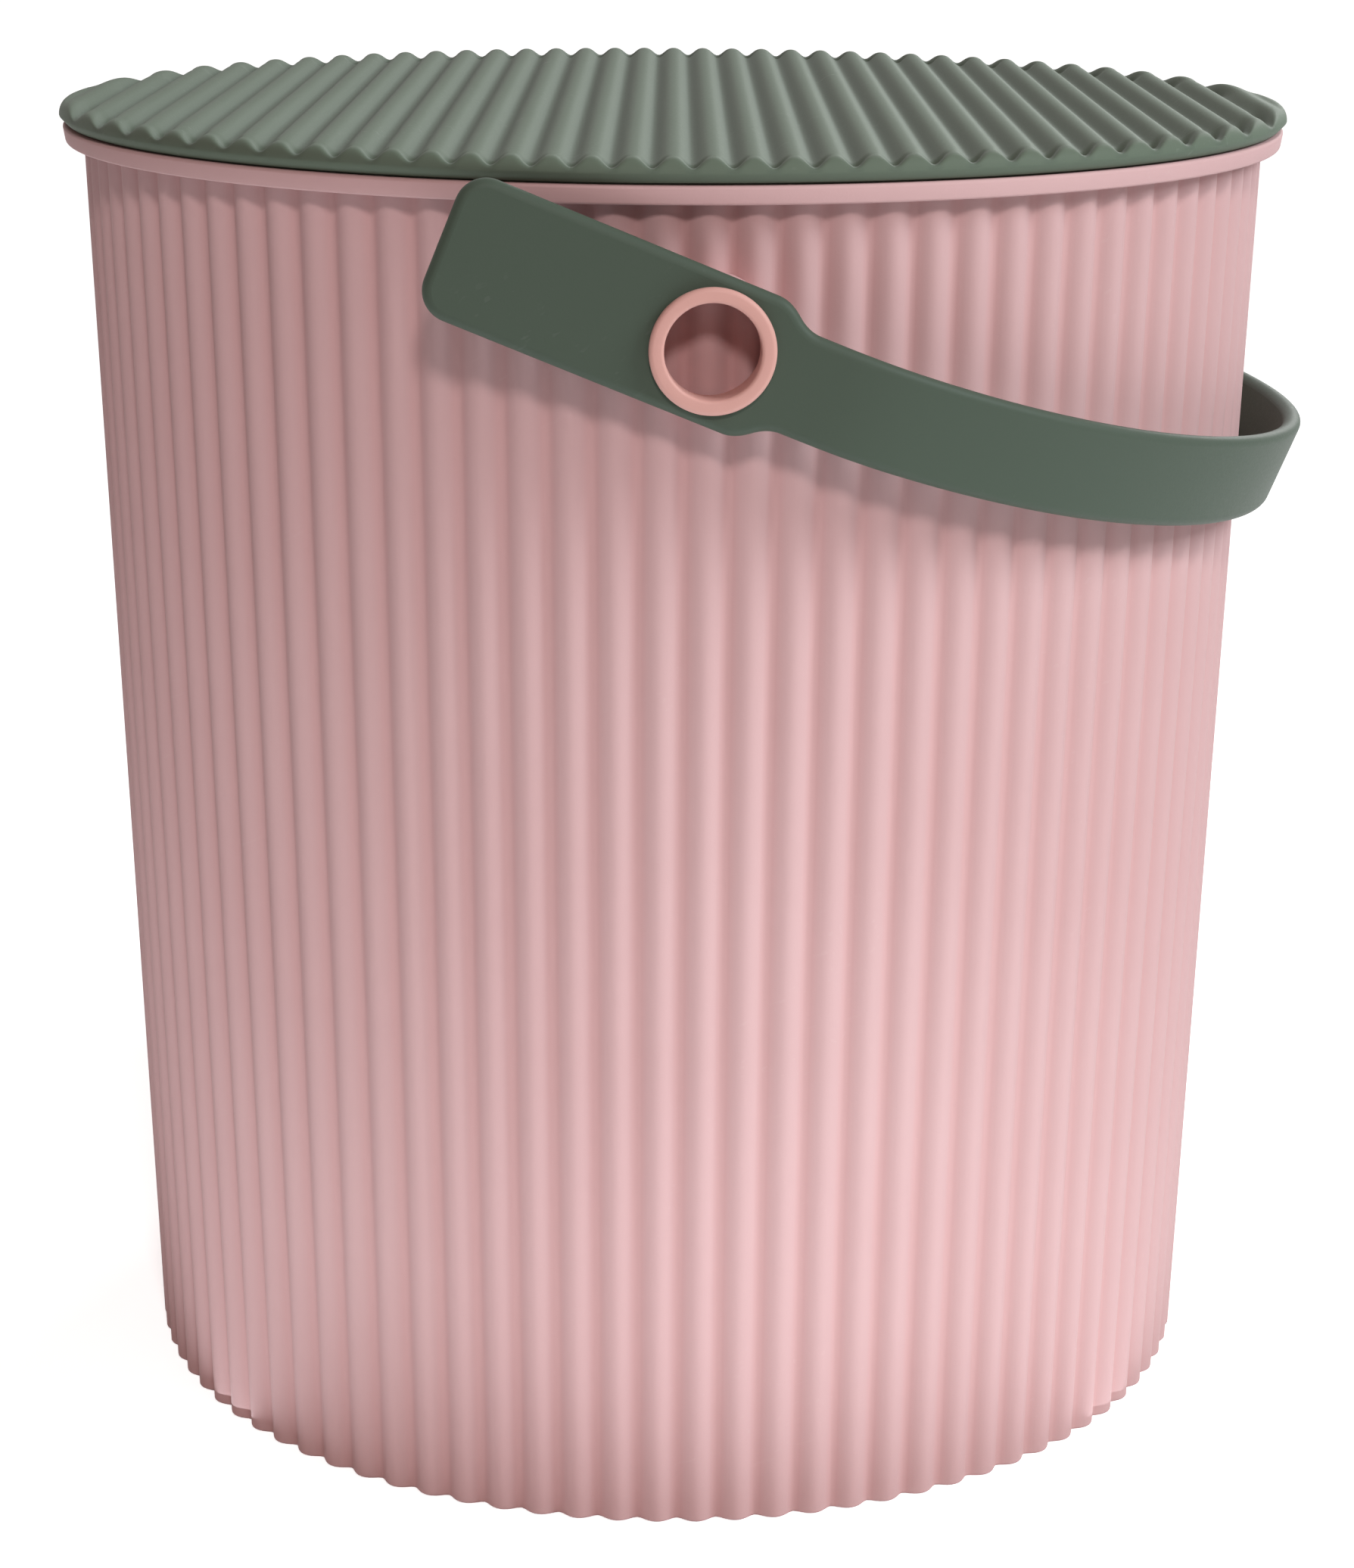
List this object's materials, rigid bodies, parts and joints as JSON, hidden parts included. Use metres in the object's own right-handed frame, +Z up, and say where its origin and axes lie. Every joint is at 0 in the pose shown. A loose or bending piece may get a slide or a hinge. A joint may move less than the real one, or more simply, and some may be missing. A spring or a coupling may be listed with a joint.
{
  "type": "lidded bucket",
  "caption": "Round ribbed plastic bucket with a flat floor, a lift-off corrugated lid and a swinging band handle that turns on pivot rings below the rim.",
  "frame": {"origin": "centre of the tub's underside, where it stands", "axes": "+Z up along the tub's axis, Y along the handle's hinge line with the front pivot ring at -Y, +X towards the side where the handle's bow rests"},
  "size_m": [0.3223, 0.3316, 0.3352],
  "materials": {
    "tub_plastic": "satin moulded plastic, dusty pink",
    "ring_plastic": "satin moulded plastic, warm pink",
    "handle_plastic": "satin moulded plastic, dark grey green",
    "lid_plastic": "satin moulded plastic, grey green"
  },
  "bodies": {
    "tub": {"tub": "tub_plastic", "front_pivot_ring": "ring_plastic", "back_pivot_ring": "ring_plastic"},
    "handle": {"handle": "handle_plastic"},
    "lid": {"lid": "lid_plastic"}
  },
  "joints": [
    {"name": "handle_swing", "type": "hinge", "parent": "tub", "child": "handle", "pos_m": [0, 0, 0.2944], "axis": [0, -1, 0], "range_deg": [0, 218]},
    {"name": "lid_lift", "type": "slide", "parent": "tub", "child": "lid", "axis": [0, 0, 1], "range_m": [0, 0.15]}
  ]
}
